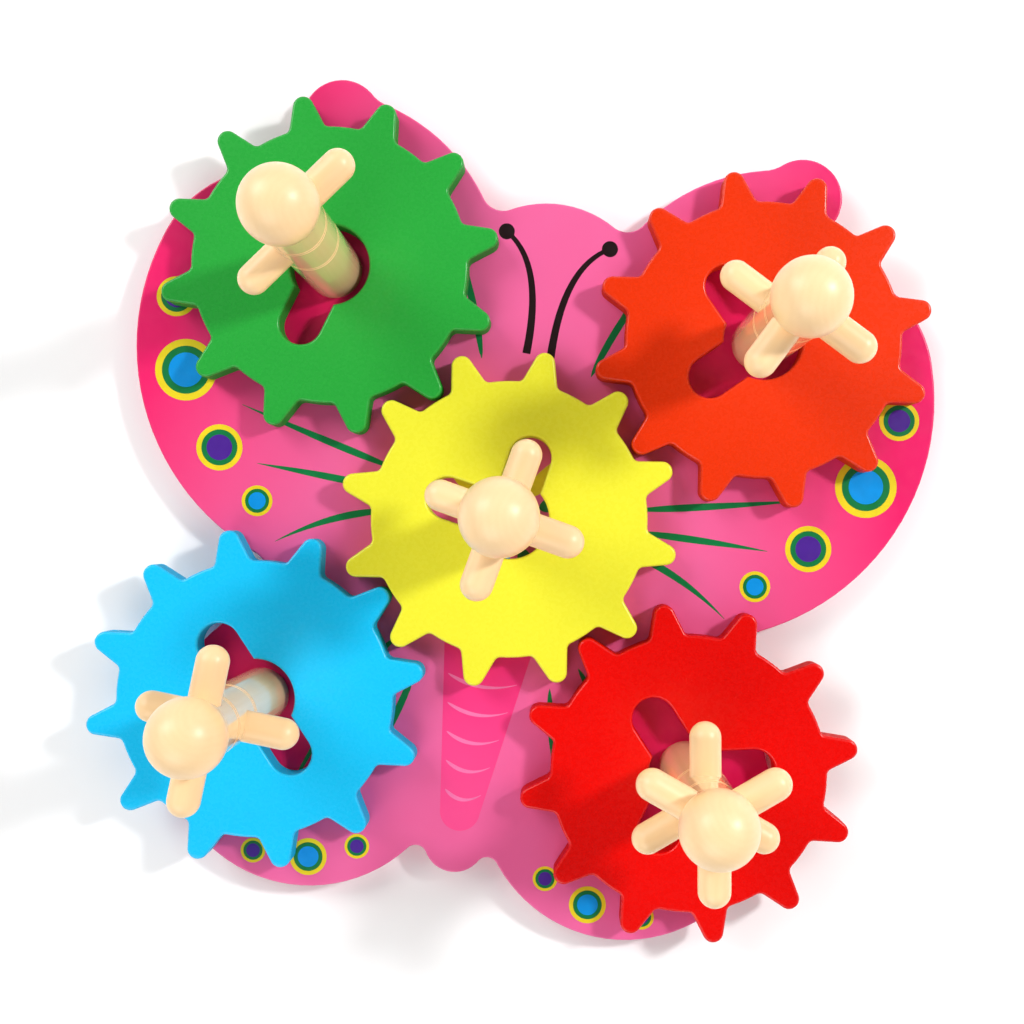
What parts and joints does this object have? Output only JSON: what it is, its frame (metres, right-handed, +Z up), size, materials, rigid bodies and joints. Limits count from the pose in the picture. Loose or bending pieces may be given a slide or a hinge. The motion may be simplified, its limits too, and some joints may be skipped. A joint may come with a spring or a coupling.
{
  "type": "wooden gear threading toy",
  "caption": "Butterfly-shaped wooden board with meshing toothed wheels, each loose on a ball-topped post whose cross pins it passes by its slots to be threaded off.",
  "frame": {"origin": "on the underside of the board, at the axis of the centre post", "axes": "+Z up along the posts, +Y towards the butterfly's head, +X towards its right wing as seen from above"},
  "size_m": [0.261, 0.2608, 0.1015],
  "materials": {
    "board_paint": "pink printed plywood, satin",
    "lacquered_wood": "pale turned hardwood, gloss lacquer",
    "screw_steel": "zinc plated",
    "yellow_paint": "yellow paint on wood, satin gloss",
    "green_paint": "green paint on wood, satin gloss",
    "orange_paint": "orange paint on wood, satin gloss",
    "blue_paint": "blue paint on wood, satin gloss",
    "red_paint": "red paint on wood, satin gloss"
  },
  "bodies": {
    "base": {"board": "board_paint", "post_screws": "screw_steel", "yellow_post": "lacquered_wood", "green_post": "lacquered_wood", "orange_post": "lacquered_wood", "blue_post": "lacquered_wood", "red_post": "lacquered_wood", "yellow_upper_pin_1": "lacquered_wood", "yellow_upper_pin_2": "lacquered_wood", "yellow_lower_pin_1": "lacquered_wood", "yellow_lower_pin_2": "lacquered_wood", "green_upper_pin": "lacquered_wood", "green_lower_pin": "lacquered_wood", "orange_upper_pin_1": "lacquered_wood", "orange_upper_pin_2": "lacquered_wood", "orange_lower_pin_1": "lacquered_wood", "orange_lower_pin_2": "lacquered_wood", "blue_upper_rod": "lacquered_wood", "blue_lower_rod": "lacquered_wood", "red_upper_pin_1": "lacquered_wood", "red_upper_pin_2": "lacquered_wood", "red_upper_pin_3": "lacquered_wood", "red_lower_pin_1": "lacquered_wood", "red_lower_pin_2": "lacquered_wood", "red_lower_pin_3": "lacquered_wood"},
    "yellow_gear": {"yellow_gear": "yellow_paint"},
    "green_gear": {"green_gear": "green_paint"},
    "orange_gear": {"orange_gear": "orange_paint"},
    "blue_gear": {"blue_gear": "blue_paint"},
    "red_gear": {"red_gear": "red_paint"}
  },
  "joints": [
    {"name": "yellow_spin", "type": "hinge", "parent": "base", "child": "yellow_gear", "pos_m": [0, 0, 0.0092], "axis": [0, 0, 1], "continuous": true},
    {"name": "green_spin", "type": "hinge", "parent": "base", "child": "green_gear", "pos_m": [-0.07, 0.07, 0.0092], "axis": [0, 0, 1], "continuous": true},
    {"name": "orange_spin", "type": "hinge", "parent": "base", "child": "orange_gear", "pos_m": [0.07, 0.07, 0.0092], "axis": [0, 0, 1], "continuous": true},
    {"name": "blue_spin", "type": "hinge", "parent": "base", "child": "blue_gear", "pos_m": [-0.07, -0.07, 0.0092], "axis": [0, 0, 1], "continuous": true},
    {"name": "red_spin", "type": "hinge", "parent": "base", "child": "red_gear", "pos_m": [0.07, -0.07, 0.0092], "axis": [0, 0, 1], "continuous": true}
  ],
  "couplings": [
    {"joint": "green_spin", "follows": "yellow_spin", "ratio": -1},
    {"joint": "orange_spin", "follows": "yellow_spin", "ratio": -1},
    {"joint": "blue_spin", "follows": "yellow_spin", "ratio": -1},
    {"joint": "red_spin", "follows": "yellow_spin", "ratio": -1}
  ]
}
